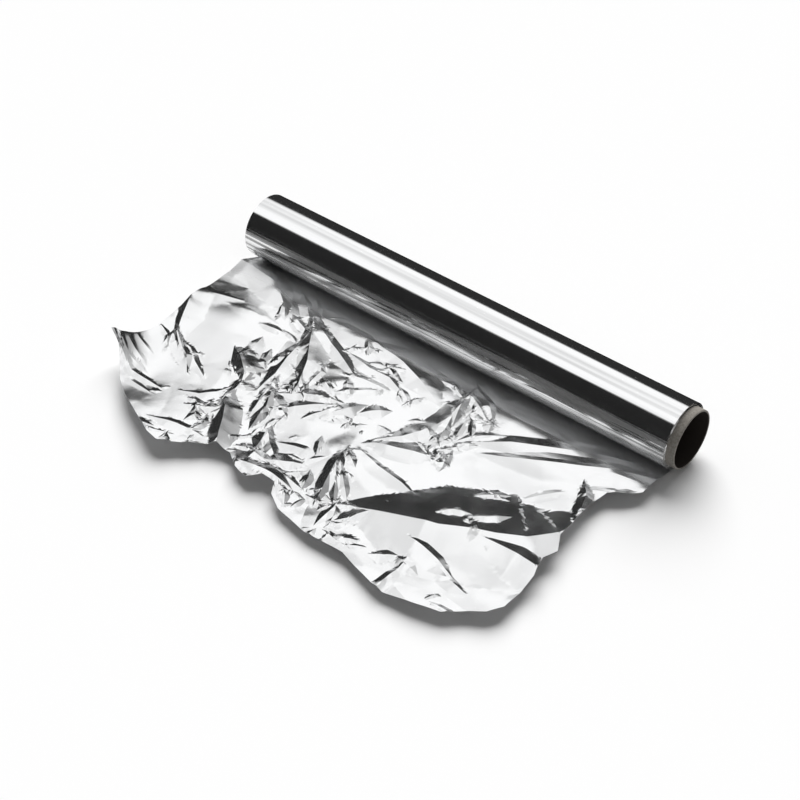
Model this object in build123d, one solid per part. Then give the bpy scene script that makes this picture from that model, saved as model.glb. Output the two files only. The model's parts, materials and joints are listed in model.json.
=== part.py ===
# A roll of kitchen aluminium foil lying on a table, with a length pulled out in front of it and crumpled.
# The origin is on the roll's axis, half way along the foil. +X runs along the axis to the near end,
# where the cardboard core stands out, the loose sheet spreads towards -Y, and +Z is up.
from build123d import *
import math
import os
import random
import numpy as np
from scipy.interpolate import LinearNDInterpolator
from scipy.spatial import Delaunay

# Driving dimensions, in millimetres
foil_width = 300.0
core_inner_radius = 16.5
core_wall = 1.25
core_overhang = 5.4
core_edge_bevel = 0.3
winding_clearance = 0.05
winding_thickness = 1.9
turn_groove_depth = 0.25
turn_groove_width = 0.2
pulled_length = 170.0
sheet_thickness = 0.3
sheet_edge_inset = 0.2
tail_overlap = 2.0
sheet_lift = 5.5
fold_height_unit = 1.0
crumple_height = 1.6
crumple_spacing = 16.0

# How far out from the axis the sheet starts to rise from under the roll, and how long it takes to rise,
# at the far end and elsewhere
rise_start = 5.0
far_end_rise_length = 19.0
rise_length = 32.0

# How finely the sheet is cut into flat facets
edge_spacing = 9.0
fold_spacing = 5.5
narrowest_gap = 1.8
scatter_spacing = 4.0
scatter_gap = 6.0
border_margin = 2.5
widest_foot = 15.0

# Counts, and shares of another size
turn_groove_count = 3
crumple_try_count = 40000
square_count_across = 300
square_count_down = 170
room_share_under_roll = 0.75
crumple_share_on_folds = 0.3
smallest_facet_share = 0.2

core_outer_radius = core_inner_radius + core_wall
wound_inner_radius = core_outer_radius + winding_clearance
wound_outer_radius = wound_inner_radius + winding_thickness
table_level = -wound_outer_radius
half_width = foil_width / 2

# The loose sheet is drawn on squares, counted from the middle of the roll's axis. The places below, and
# how far folds and swells reach, are in squares, and heights are in fold height units.
square_width = foil_width / square_count_across
square_length = pulled_length / square_count_down
tail_squares = tail_overlap / square_length

# Between these places across, the short rise of the far end grows into the rise of the rest
far_end_blend = (-128, -112)

# Plan of the loose sheet: its left edge and right edge from the roll to the front, as (x, y)
left_edge = [(-150, 0), (-150, -40), (-148, -70), (-145, -90), (-144, -105), (-146, -118), (-150, -132)]
right_edge = [(150, 0), (150, -20), (151, -38), (146, -44), (137, -51), (135, -62), (136, -76), (137, -94),
              (142, -103), (139, -112), (143, -125), (143, -150)]

# The torn front edge, from the raised left corner to the rounded right corner
front_edge = [(-150, -132), (-143, -134), (-136, -141), (-128, -149), (-116, -157), (-99, -165), (-84, -172),
              (-76, -173), (-60, -161), (-50, -153), (-40, -153), (-30, -160), (-20, -162), (-14, -156),
              (-5, -156), (-1, -163), (8, -168), (30, -172), (55, -171), (80, -178), (88, -179), (105, -176),
              (120, -172), (130, -163), (138, -158), (143, -150)]

# Broad swells of the sheet: centre x, centre y, height, spread in x, spread in y
swells = [
    (-172, -136, 33, 26, 20),
    (-150, -95, 3, 20, 30),
    (-112, -72, 3, 30, 30),
    (-96, -190, 7, 40, 50),
    (-30, -78, 3, 26, 24),
    (-20, -155, 3, 24, 12),
    (10, -118, 2, 24, 18),
    (90, -60, 2, 40, 22),
    (100, -158, 1, 44, 18),
    (142, -70, 1, 14, 30),
    (140, -150, 2, 16, 16),
]

# The net of crumples reaches a little past the sheet: from and to in x, and in y
net_across = (-165, 165)
net_down = (-190, 5)

# Calm panels of the sheet, less crumpled than the rest: centre x, centre y, spread in x, spread in y, and
# how much of the crumpling is left there. The rim of a panel is in shares of its spread.
panel_rim = (0.7, 1.2)
calm_panels = [
    (-122, -66, 34, 44, 0.12),
    (-100, -98, 14, 16, 0.15),
    (-120, -116, 30, 18, 0.15),
    (-112, -146, 36, 20, 0.15),
    (-60, -26, 70, 9, 0.3),
    (-20, -62, 32, 14, 0.4),
    (8, -70, 18, 26, 0.3),
    (-20, -108, 20, 12, 0.5),
    (36, -99, 24, 8, 0.25),
    (70, -26, 80, 10, 0.12),
    (76, -36, 30, 12, 0.2),
    (96, -64, 44, 26, 0.12),
    (84, -150, 42, 22, 0.15),
    (128, -142, 26, 30, 0.12),
    (86, -108, 54, 20, 0.15),
    (60, -122, 30, 16, 0.15),
    (120, -88, 24, 16, 0.05),
    (48, -134, 14, 10, 0.1),
    (132, -60, 12, 16, 0.1),
]

# Folds of the sheet. Each is a line of (x, y) points, how far its crest stands above the sheet, and how
# far its slope reaches to the left and to the right of the line's direction.
folds = [
    # from under the roll on the left
    ([(-168, -22), (-150, -24), (-118, -28), (-100, -41), (-92, -50)], 2.6, 9.0, 15.0),
    ([(-104, -20), (-88, -34), (-73, -48)], 1.6, 3.4, 5.0),
    ([(-95, -18), (-82, -32), (-70, -44)], 1.2, 2.6, 4.0),
    ([(-87, -30), (-74, -45), (-64, -60), (-55, -72), (-47, -89), (-45, -97)], 4.2, 12.0, 6.6),
    ([(-93, -42), (-84, -46), (-73, -50)], 1.3, 3.6, 4.0),
    ([(-84, -38), (-62, -47), (-48, -53), (-32, -61), (-24, -65)], 1.3, 4.8, 6.0),
    ([(-78, -33), (-54, -33), (-30, -32)], 1.6, 6.0, 12.0),
    ([(-44, -31), (-13, -37), (6, -44), (26, -52)], 3.0, 17.0, 9.0),
    # the wide panel on the left and its turned-up corner
    ([(-172, -70), (-150, -61), (-119, -52)], 1.3, 8.0, 14.0),
    ([(-164, -42), (-149, -67), (-146, -73), (-131, -100), (-120, -109)], 2.3, 12.0, 4.0),
    ([(-137, -95), (-120, -107), (-113, -110.5), (-101, -123)], 1.4, 3.6, 7.0),
    ([(-145, -100), (-134, -104.5), (-129, -110), (-127, -117)], 1.0, 2.4, 3.0),
    ([(-148, -130), (-128, -140), (-103, -140)], 1.0, 2.8, 4.0),
    ([(-94, -163), (-77, -157), (-63, -154), (-56, -154)], 1.0, 3.4, 5.0),
    # the crumpled band left of the middle
    ([(-71, -47), (-69.5, -62), (-67.5, -75), (-63.5, -90), (-63, -108)], 2.6, 8.0, 6.4),
    ([(-91, -70), (-88, -82), (-90, -92)], 1.0, 6.0, 4.6),
    ([(-81, -74), (-76, -86), (-71, -90)], 1.3, 3.0, 3.4),
    ([(-97, -88), (-89, -97), (-80, -108), (-77, -123)], 3.4, 7.4, 15.0),
    ([(-80, -109), (-67, -112), (-57, -114)], 2.1, 7.0, 6.0),
    ([(-72, -100), (-70, -108), (-67, -122), (-60, -134), (-53, -146), (-50, -164)], 4.0, 9.0, 7.0),
    ([(-62, -88), (-57, -106), (-51, -128)], 1.5, 4.0, 3.8),
    ([(-56, -99), (-48, -115), (-45, -133)], 2.6, 3.4, 6.2),
    ([(-62, -99), (-48, -107), (-34, -113)], 2.4, 5.6, 7.0),
    ([(-46, -114), (-31, -99), (-16, -86)], 1.5, 5.6, 5.0),
    ([(-55, -102), (-36, -92), (-15, -84)], 1.3, 5.0, 5.0),
    ([(-47, -123), (-43, -110)], 1.1, 3.6, 3.0),
    ([(-50, -65), (-44, -73), (-42, -91)], 1.1, 3.0, 2.6),
    ([(-80, -138), (-74, -144), (-76, -152)], 1.3, 3.0, 3.4),
    ([(-70, -138), (-66, -148), (-68, -158)], 1.2, 3.0, 3.0),
    # the middle
    ([(-28, -109), (-21, -97), (-16, -89)], 1.2, 4.4, 4.0),
    ([(-22, -105), (-12, -87), (-6, -76)], 2.1, 5.6, 6.0),
    ([(-7, -86), (-1, -79), (7, -71)], 1.2, 5.2, 5.0),
    ([(-35, -122), (-31, -130), (-30, -143)], 2.3, 3.4, 6.6),
    ([(-37, -126), (-27, -135), (-16, -142)], 1.8, 3.8, 4.0),
    ([(-36, -144), (-26, -146), (-15, -148)], 1.5, 5.0, 4.0),
    ([(-23, -148), (-12, -141), (-1, -133)], 1.9, 8.0, 5.0),
    ([(-33, -156), (-14, -155), (5, -154)], 1.6, 5.0, 3.0),
    ([(-10, -112), (-6, -119), (-2, -126)], 1.3, 3.0, 2.6),
    ([(7, -108), (9, -117), (13, -130), (21, -155)], 2.6, 4.4, 5.6),
    ([(9, -111), (14, -116), (21, -120)], 1.4, 3.2, 3.0),
    ([(2, -135), (6, -141), (8, -150)], 1.6, 3.0, 4.0),
    ([(12, -122), (24, -133), (34, -142)], 1.5, 2.8, 3.4),
    ([(12, -125), (21, -137), (29, -148)], 1.5, 2.6, 3.0),
    ([(28, -140), (31, -150), (31, -166)], 1.2, 4.0, 4.0),
    # right of the middle, spreading from one point at the roll
    ([(26, -20), (33, -27), (45, -33), (58, -46)], 1.5, 3.6, 4.4),
    ([(29, -26), (36, -36), (53, -45)], 2.2, 6.6, 4.0),
    ([(30, -28), (34, -42), (40, -60)], 1.5, 3.0, 3.4),
    ([(30, -22), (35, -40), (35, -58), (32, -72), (25, -84), (11, -99)], 2.2, 6.0, 9.0),
    ([(36, -55), (40, -68), (41, -84)], 1.6, 3.4, 4.4),
    ([(42, -46), (45, -58), (48, -70)], 1.1, 2.6, 3.0),
    ([(43, -48), (50, -55), (55, -62)], 1.1, 2.2, 2.4),
    ([(10, -103), (16, -98), (28, -94), (40, -89), (51, -84)], 2.1, 9.0, 9.0),
    # the two long folds from the near end of the roll
    ([(44, -30), (72, -33), (98, -31), (120, -24)], 2.2, 8.0, 14.0),
    ([(52, -67), (64, -59.5), (74, -52), (94, -41), (112, -31), (138, -14)], 1.3, 7.0, 9.0),
    ([(62, -70), (78, -63.5), (94, -55.5), (114, -44), (138, -29), (166, -11)], 1.8, 8.5, 14.0),
    # the small turned corner on the right edge
    ([(122, -51), (131, -62), (138, -84)], 2.6, 4.5, 5.0),
    # the long front lobe and the valley behind it
    ([(28, -147), (52, -139), (68, -134.5), (85, -129.5), (100, -121), (112, -116), (126, -108), (136, -93),
      (141, -78), (144, -60)], 7.8, 36.0, 34.0),
    ([(77, -122), (84, -115), (93, -111)], 1.5, 2.6, 4.0),
    ([(92, -115), (101, -109), (110, -99)], 1.6, 3.0, 4.0),
    ([(90, -112), (97, -119)], 1.0, 2.6, 3.0),
    ([(106, -122), (124, -121), (175, -119)], 2.9, 7.0, 16.0),
    ([(75, -143.5), (99, -147.5), (112, -151)], 1.7, 3.8, 8.0),
    ([(98, -149), (108, -152), (124, -155)], 1.1, 2.6, 6.0),
    ([(66, -164), (72, -161), (80, -156)], 1.6, 4.0, 5.0),
    ([(78, -157), (85, -158), (96, -160)], 1.2, 3.6, 5.0),
    ([(86, -156), (84.5, -168), (83, -194)], 1.3, 5.0, 3.6),
    ([(37, -157), (43, -150), (48, -141)], 1.5, 6.4, 4.0),
]


def on_edge(edge, y):
    """The x of a side edge at each y."""
    return np.interp(-y, [-place[1] for place in edge], [place[0] for place in edge])


def front_y(x):
    return np.interp(x, [place[0] for place in front_edge], [place[1] for place in front_edge])


def fold_lengths(fold):
    """A fold's whole length, and how far from each end it reaches its full height: a third of that
    length, or three times its own reach if that is less."""
    line, crest, left_reach, right_reach = fold
    whole = sum(math.dist(a, b) for a, b in zip(line, line[1:]))
    return whole, min(whole / 3, 3 * max(left_reach, right_reach))


def fold_share(fold, x, y):
    """How far up one fold each place lies, from 0 at its feet to 1 on its crest."""
    line, crest, left_reach, right_reach = fold
    whole, fade = fold_lengths(fold)
    nearest = np.full(x.shape, math.inf)
    side = np.zeros(x.shape)
    travelled = np.zeros(x.shape)
    start = 0.0
    for a, b in zip(line, line[1:]):
        length = math.dist(a, b)
        dx, dy = (b[0] - a[0]) / length, (b[1] - a[1]) / length
        forward = (x - a[0]) * dx + (y - a[1]) * dy
        sideways = (y - a[1]) * dx - (x - a[0]) * dy
        held = np.clip(forward, 0, length)
        distance = np.hypot(forward - held, sideways)
        nearer = distance < nearest
        nearest = np.where(nearer, distance, nearest)
        side = np.where(nearer, sideways, side)
        travelled = np.where(nearer, start + held, travelled)
        start += length
    fullness = np.minimum(1.0, np.minimum(travelled, whole - travelled) / fade)
    reach = np.where(side > 0, left_reach, right_reach)
    return np.maximum(0.0, fullness - nearest / reach)


def crumpled_share(x, y):
    """How crumpled each place is, from 1 in the crumpled bands to little in the calm panels and on the
    upper half of folds."""
    share = np.ones(x.shape)
    for centre_x, centre_y, spread_x, spread_y, left_over in calm_panels:
        away = np.hypot((x - centre_x) / spread_x, (y - centre_y) / spread_y)
        out_of_panel = np.interp(away, panel_rim, (0, 1))
        share = np.minimum(share, left_over + (1 - left_over) * out_of_panel)
    on_fold = np.max([fold_share(fold, x, y) for fold in folds], 0)
    return share * np.interp(on_fold, (0, 0.5), (1, crumple_share_on_folds))


def crumple_net():
    """Knots of a loose net over the sheet, and how far each is raised or lowered by the crumpling."""
    scatter = random.Random(21)
    knots = []
    for _ in range(crumple_try_count):
        knot = (scatter.uniform(*net_across), scatter.uniform(*net_down))
        if all(math.dist(knot, other) > crumple_spacing / square_length for other in knots):
            knots.append(knot)
    x, y = np.array(knots).T
    rises = np.array([scatter.uniform(-crumple_height, crumple_height) for _ in knots])
    return knots, rises * crumpled_share(x, y)


def sheet_height(x, y, crumple):
    """Height of the sheet's underside over the table at each place."""
    raised = np.zeros(x.shape)
    for swell_x, swell_y, rise, spread_x, spread_y in swells:
        raised += rise * np.exp(-((x - swell_x) / spread_x) ** 2 - ((y - swell_y) / spread_y) ** 2)
    for fold in folds:
        raised += fold[1] * fold_share(fold, x, y)
    height = sheet_lift + fold_height_unit * raised + crumple(x, y)
    out = -y * square_length
    rise = np.interp(x, far_end_blend, (far_end_rise_length, rise_length))
    risen = np.clip((out - rise_start) / rise, 0, 1)
    out = np.minimum(out, wound_outer_radius)
    gap = wound_outer_radius - np.sqrt(wound_outer_radius ** 2 - out ** 2)
    room = np.where(out < wound_outer_radius, room_share_under_roll * gap, math.inf)
    return np.clip(height * risen ** 2 * (3 - 2 * risen), 0, room)


def between(a, b, share):
    return (a[0] + (b[0] - a[0]) * share, a[1] + (b[1] - a[1]) * share)


def along_line(points, spacing):
    """Places along a line of points, no further apart than the spacing, with every corner kept."""
    places = []
    for a, b in zip(points, points[1:]):
        steps = max(1, round(math.dist(a, b) / spacing))
        places += [between(a, b, step / steps) for step in range(steps)]
    return places + [points[-1]]


def feet(fold):
    """Places along both feet of a fold, where its slopes meet the sheet, unless a slope is very wide."""
    line, crest, left_reach, right_reach = fold
    whole, fade = fold_lengths(fold)
    places = []
    start = 0.0
    for a, b in zip(line, line[1:]):
        length = math.dist(a, b)
        dx, dy = (b[0] - a[0]) / length, (b[1] - a[1]) / length
        for x, y in along_line([a, b], fold_spacing / square_length):
            travelled = start + math.dist(a, (x, y))
            fullness = min(1.0, travelled / fade, (whole - travelled) / fade)
            for reach in (left_reach, -right_reach):
                if abs(reach) < widest_foot / square_length:
                    places.append((x - dy * reach * fullness, y + dx * reach * fullness))
        start += length
    return places


def share_of_sheet(x, y):
    """A place as shares of the sheet: across from its left edge, and down to its front edge."""
    across = (x - on_edge(left_edge, y)) / (on_edge(right_edge, y) - on_edge(left_edge, y))
    return across, (y + tail_squares) / (front_y(x) + tail_squares)


def scattered_places():
    """Places strewn over the whole sheet, one in each cell of a grid."""
    scatter = random.Random(7)
    cell = scatter_spacing / square_length
    half_cells = math.ceil(square_count_across / 2 / cell)
    places = []
    for row in range(math.ceil(square_count_down / cell)):
        for column in range(-half_cells, half_cells):
            places.append(((column + scatter.random()) * cell, -(row + scatter.random()) * cell))
    return places


def sheet_places(knots):
    """Corners of the sheet's facets: its edges, its folds' crests and feet, and places between them."""
    step = edge_spacing / square_length
    roll_side = [(x, -tail_squares) for x in (left_edge[0][0], right_edge[0][0])]
    left = [roll_side[0]] + left_edge[1:]
    right = [roll_side[1]] + right_edge[1:]
    places = along_line(left, step) + along_line(front_edge, step)[1:]
    places += along_line(right, step)[-2::-1] + along_line(roll_side[::-1], step)[1:-1]
    on_folds = [place for fold in folds for place in along_line(fold[0], fold_spacing / square_length)]
    on_folds += [place for fold in folds for place in feet(fold)]
    margin = border_margin / square_length
    wanted = [(place, narrowest_gap) for place in on_folds + knots]
    wanted += [(place, scatter_gap) for place in scattered_places()]
    for (x, y), gap in wanted:
        across, down = share_of_sheet(x, y)
        inside = (margin < -y - tail_squares and down < 1 - margin / square_count_down
                  and margin / square_count_across < across < 1 - margin / square_count_across)
        if inside and all(math.dist((x, y), other) > gap / square_length for other in places):
            places.append((x, y))
    return np.array(places).T


def loose_sheet():
    """The loose sheet as one thin solid of flat facets, with its first strip inside the roll's foil."""
    knots, rises = crumple_net()
    x, y = sheet_places(knots)
    height = sheet_height(x, y, LinearNDInterpolator(knots, rises, fill_value=0))
    sheet_x = x * square_width * (1 - sheet_edge_inset / half_width)
    sheet_y = y * square_length
    bottom = [Vector(*place) for place in zip(sheet_x, sheet_y, table_level + height)]
    top = [place + Vector(0, 0, sheet_thickness) for place in bottom]
    across, down = share_of_sheet(x, y)
    facets = Delaunay(np.stack([across * square_count_across, down * square_count_down], 1)).simplices
    faces = []
    edge_uses = {}
    for a, b, c in facets.tolist():
        turn = (top[b] - top[a]).cross(top[c] - top[a]).Z
        if abs(turn) < smallest_facet_share * square_width * square_length:
            continue
        if turn < 0:
            b, c = c, b
        faces.append(Face(Wire.make_polygon([top[a], top[b], top[c]])))
        faces.append(Face(Wire.make_polygon([bottom[a], bottom[c], bottom[b]])))
        for pair in ((a, b), (b, c), (c, a)):
            edge_uses[frozenset(pair)] = edge_uses.get(frozenset(pair), []) + [pair]
    for uses in edge_uses.values():
        if len(uses) == 1:
            a, b = uses[0]
            faces.append(Face(Wire.make_polygon([top[b], top[a], bottom[a], bottom[b]])))
    return Solid(Shell(faces))


def tube(outer_radius, inner_radius, start, end):
    """A tube on the roll's axis, from one x to another."""
    section = Circle(outer_radius) - Circle(inner_radius)
    return Plane.YZ.offset(start) * extrude(section, end - start)


def core_tube():
    """The cardboard core, flush with the foil at the far end and standing out at the near end."""
    core = tube(core_outer_radius, core_inner_radius, -half_width, half_width + core_overhang)
    rims = core.edges().filter_by(GeomType.CIRCLE)
    return chamfer(rims, core_edge_bevel)


def wound_foil():
    """The turns on the core as one solid, with grooves in both ends where turns lie unevenly."""
    wound = tube(wound_outer_radius, wound_inner_radius, -half_width, half_width)
    pitch = winding_thickness / (turn_groove_count + 1)
    for turn in range(turn_groove_count):
        radius = wound_inner_radius + pitch * (turn + 1)
        for start in (-half_width, half_width - turn_groove_depth):
            wound -= tube(radius + turn_groove_width, radius, start, start + turn_groove_depth)
    return wound


def foil():
    """The whole strip of foil: the turns on the core and the loose sheet that leaves them below."""
    return wound_foil() + loose_sheet()


os.makedirs("parts", exist_ok=True)
export_step(core_tube(), "parts/core_tube.step")
export_step(foil(), "parts/foil.step")
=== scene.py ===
# The looks of a roll of kitchen aluminium foil with a crumpled length pulled out in front of it.
# Everything is in metres in the part's own frame: +X runs along the roll to its near end, the loose
# sheet spreads towards -Y, and +Z is up.
import json
import math
import random

import bpy
import numpy as np
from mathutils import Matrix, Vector, geometry


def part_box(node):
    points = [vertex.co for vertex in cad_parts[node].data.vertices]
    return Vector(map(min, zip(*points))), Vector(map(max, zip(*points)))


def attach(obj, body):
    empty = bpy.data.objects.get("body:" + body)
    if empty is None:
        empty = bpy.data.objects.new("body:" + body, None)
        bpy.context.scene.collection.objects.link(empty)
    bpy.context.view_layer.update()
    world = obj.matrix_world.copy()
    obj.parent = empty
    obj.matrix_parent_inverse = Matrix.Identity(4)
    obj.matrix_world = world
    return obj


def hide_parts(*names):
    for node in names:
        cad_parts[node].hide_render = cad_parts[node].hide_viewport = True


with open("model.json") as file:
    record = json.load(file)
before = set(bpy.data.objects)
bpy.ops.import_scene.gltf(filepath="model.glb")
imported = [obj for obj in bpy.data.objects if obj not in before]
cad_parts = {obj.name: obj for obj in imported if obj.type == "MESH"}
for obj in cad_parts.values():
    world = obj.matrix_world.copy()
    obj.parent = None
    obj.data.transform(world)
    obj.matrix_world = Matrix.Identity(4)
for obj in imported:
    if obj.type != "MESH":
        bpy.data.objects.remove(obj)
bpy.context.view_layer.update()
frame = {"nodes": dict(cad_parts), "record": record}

MM = 0.001

# Sizes read from the frame
foil_low, foil_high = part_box("foil")
core_low, core_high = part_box("core_tube")
HALF_WIDTH = -core_low.x
ROLL_RADIUS = foil_high.y
CORE_RADIUS = core_high.z
TABLE = foil_low.z
BORE_RADIUS = frame["record"]["mounts"][0]["dims"]["r_mm"] * MM

# The sheet is drawn on a grid of 1 mm squares, 300 across the roll and about 170 down from its axis
GRID_ACROSS = 300
GRID_DOWN = 170
SQUARE = 2 * HALF_WIDTH / GRID_ACROSS

# The thickness of the pulled-out foil
SHEET_THICKNESS = 0.08 * MM

# The sheet's width is taken in by this share, so that it stays within the solids' box
SHEET_WIDTH_SHARE = 0.9987

# How high the sheet lies over the table before its swells and folds, in millimetres
SHEET_LIFT = 5.5

# In squares of the grid: how far in front of the roll's axis the sheet starts, where its slope from under
# the roll begins, and how long that slope is to the left of the first x and to the right of the second
SHEET_START = 2.0
SLOPE_START = 5
SLOPE_CHANGE = (-128, -112)
SLOPE_LENGTHS = (19, 32)

# How much of the room under the roll the sheet takes
UNDER_ROLL_SHARE = 0.75

# From what angle between two facets, in degrees, the edge between them shows as a sharp crease
SHEET_CREASE_ANGLE = 7
ROLL_CREASE_ANGLE = 30

# Short creases strewn over the sheet: how many, over which x and y, how long, how bent and how steep
SMALL_FOLD_COUNT = 130
SMALL_FOLD_X = (-150, 150)
SMALL_FOLD_Y = (-176, -28)
SMALL_FOLD_LENGTH = (6, 22)
SMALL_FOLD_BEND = (-0.5, 0.5)
SMALL_FOLD_STEEPNESS = (0.035, 0.075)

# Two nets of creases all over the sheet: how far apart the knots of each net are, how far they rise or
# sink, and the seed of their scatter. Then how many places are tried for knots and over which x and y,
# and how much of their rise the large folds take away
CRUMPLE_NETS = [(16, 1.6, 21), (8, 0.4, 22)]
KNOT_TRIES = 40000
KNOT_X = (-165, 165)
KNOT_Y = (-190, 5)
CALMED_BY_FOLDS = 0.7

# A calm panel is calm over this share of its spread, and then fades out over the next
CALM_WITHIN = 0.7
CALM_FADE = 0.5

# The net of the sheet's facets, in squares of the grid: the size of a facet, the spacing of the points along
# a fold, the least gap between points on crests and feet, on creases and elsewhere, the margin that is kept
# clear along the edges, and how far from its crest a fold's foot still gets points
FACET = 5.5
POINT_SPACING = 3.2
FOLD_GAP = 1.0
CREASE_GAP = 1.4
LOOSE_GAP = 0.55 * FACET
EDGE_MARGIN = 1.2
FARTHEST_FOOT = 12

# The field that loose points are scattered over, as shares of the grid: how far down and across it goes,
# and how far to the left of the middle it starts
SCATTER_DOWN = 1.1
SCATTER_ACROSS = 1.04
SCATTER_LEFT = 0.51

# Points are looked up in cells of this many squares
CELL_SIZE = 4

# The wound foil's mesh: faces around and along it and rings in each end. Then how many shallow dents its
# outside has, how deep they are and how far the turns at its ends are out of line, both in millimetres,
# and its outer and inner radius
ROLL_AROUND = 160
ROLL_ALONG = 240
END_RINGS = 10
DENT_COUNT = 60
DENT_DEPTH = 0.02
END_INSET = 0.25
WOUND_RADIUS = ROLL_RADIUS - 0.04 * MM
WOUND_BORE = CORE_RADIUS + 0.05 * MM

# The foil's colour, and the grey of the streaks painted on the roll as a painted reflection of the crumpled
# sheet
FOIL_COLOUR = (0.88, 0.885, 0.89, 1)
STREAK_REFLECTION_COLOUR = (0.5, 0.5, 0.5, 1)

# Roughness of the foil, from its glossiest patches to its dullest, then of the painted reflection streaks on
# the roll and of the strip of the sheet next to the roll, and the depth of the sheet's finest wrinkles in
# metres
SHEET_ROUGHNESS = (0.11, 0.18)
ROLL_ROUGHNESS = (0.07, 0.11)
STREAK_REFLECTION_ROUGHNESS = 0.5
NEAR_ROLL_ROUGHNESS = 0.38
SHEET_WRINKLES = 0.000004

# Between which two heights the painted reflection streaks on the roll fade in, and between which two places
# in Y the strip next to the roll does
STREAK_REFLECTION_BELOW = (12 * MM, 6 * MM)
NEAR_ROLL = (-40 * MM, -26 * MM)

# The board of the core: its dark and light fibres, and the near-black painted shade inside the bore
BOARD_DARK = (0.20, 0.185, 0.165, 1)
BOARD_LIGHT = (0.32, 0.30, 0.27, 1)
BORE_PAINTED_SHADE = (0.022, 0.016, 0.012, 1)

# The photograph's camera: its angle around from the front and up from the table, in degrees, and its place
# and lens, in millimetres
CAMERA_AZIMUTH = 39.07
CAMERA_ELEVATION = 41.81
CAMERA_PLACE = (507.838, -681.823, 700.892)
CAMERA_LENS = 86.45

# The floor: the part of it that the foil mirrors, and all of it, as corners in metres, and how far it lies
# under the foil
MIRRORED_FLOOR = [(-0.21, -0.27), (0.21, -0.27), (0.21, 0.0), (-0.21, 0.0)]
WHOLE_FLOOR = [(-4, -4), (4, -4), (4, 4), (-4, 4)]
FLOOR_GAP = 0.0002

# The lamp: where its light comes from, how wide it looks in degrees, and how bright it is
LAMP_FROM = (-0.45, 0.75, 0.85)
LAMP_WIDTH = 50
LAMP_ENERGY = 3.85

# The large soft box overhead. Each of its edges is measured along a direction and fades in between two
# values of it. A third value is the share of the light that is left where the box is darkest
UP = (0, 0, 1)
BACK = (0, 1, 0.49)
RIGHT = (0.776, 0.63, 0)
BOX_RIM = (0.475, 0.57)
BOX_FRONT = (-0.04, 0.06)
BOX_RIGHT_END = (0.6, 0.2, 0.4)
BOX_LEFT_END = (-0.95, -0.6, 0.4)
BOX_UNEVENNESS = (0.3, 0.62, 0.63)

# The lower and dimmer box at the front right
FRONT_RIGHT = (0.707, -0.707, 0)
LOW_BOX_SIDE = (0.42, 0.56)
LOW_BOX_RIM = (0.08, 0.2)
LOW_BOX_UNEVENNESS = (0.3, 0.7, 0.25)
LOW_BOX_STRENGTH = 0.75

# How bright the studio is in the foil, outside the boxes and in them, then on the floor and to the camera
MIRRORED_STRENGTH = (0.014, 1.12)
PLAIN_STRENGTH = (0.16, 1.0)

# Calm panels of the sheet, less crumpled than the rest: centre x, centre y, spread in x, spread in y, and
# how much of the crumpling is left there
CALM_PANELS = [
    (-122, -66, 34, 44, 0.12),
    (-100, -98, 14, 16, 0.15),
    (-120, -116, 30, 18, 0.15),
    (-112, -146, 36, 20, 0.15),
    (-60, -26, 70, 9, 0.3),
    (-20, -62, 32, 14, 0.4),
    (8, -70, 18, 26, 0.3),
    (-20, -108, 20, 12, 0.5),
    (36, -99, 24, 8, 0.25),
    (70, -26, 80, 10, 0.12),
    (76, -36, 30, 12, 0.2),
    (96, -64, 44, 26, 0.12),
    (84, -150, 42, 22, 0.15),
    (128, -142, 26, 30, 0.12),
    (86, -108, 54, 20, 0.15),
    (60, -122, 30, 16, 0.15),
    (120, -88, 24, 16, 0.05),
    (48, -134, 14, 10, 0.1),
    (132, -60, 12, 16, 0.1),
    (37, -99, 8, 9, 0.1),
    (-88, -67, 9, 9, 0.1),
    (-13, -137, 9, 6, 0.05),
    (-12, -150, 13, 5, 0.05),
    (-36, -133, 6, 9, 0.05),
    (-8, -114, 8, 10, 0.1),
]

# Plan of the loose sheet: its left edge and right edge from the roll to the front, as (x, y)
LEFT_EDGE = [(-150, 0), (-150, -40), (-148, -70), (-145, -90), (-144, -105), (-146, -118), (-150, -132)]
RIGHT_EDGE = [(150, 0), (150, -20), (151, -38), (146, -44), (137, -51), (135, -62), (136, -76), (137, -94),
              (142, -103), (139, -112), (143, -125), (143, -150)]

# The torn front edge, from the raised left corner to the rounded right corner
FRONT_EDGE = [(-150, -132), (-143, -134), (-136, -141), (-128, -149), (-116, -157), (-99, -165),
              (-84, -172), (-76, -173), (-60, -161), (-50, -153), (-40, -153), (-30, -160), (-20, -162),
              (-14, -156), (-5, -156), (-1, -163), (8, -168), (30, -172), (55, -171), (80, -178), (88, -179),
              (105, -176), (120, -172), (130, -163), (138, -158), (143, -150)]

# Broad swells of the sheet: centre x, centre y, height, spread in x, spread in y
SWELLS = [
    (-172, -136, 33, 26, 20),
    (-150, -95, 3, 20, 30),
    (-112, -72, 3, 30, 30),
    (-96, -190, 7, 40, 50),
    (-30, -78, 3, 26, 24),
    (-20, -155, 3, 24, 12),
    (10, -118, 2, 24, 18),
    (90, -60, 2, 40, 22),
    (100, -158, 1, 44, 18),
    (130, -58, 2, 26, 26),
    (140, -150, 2, 16, 16),
]

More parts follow.
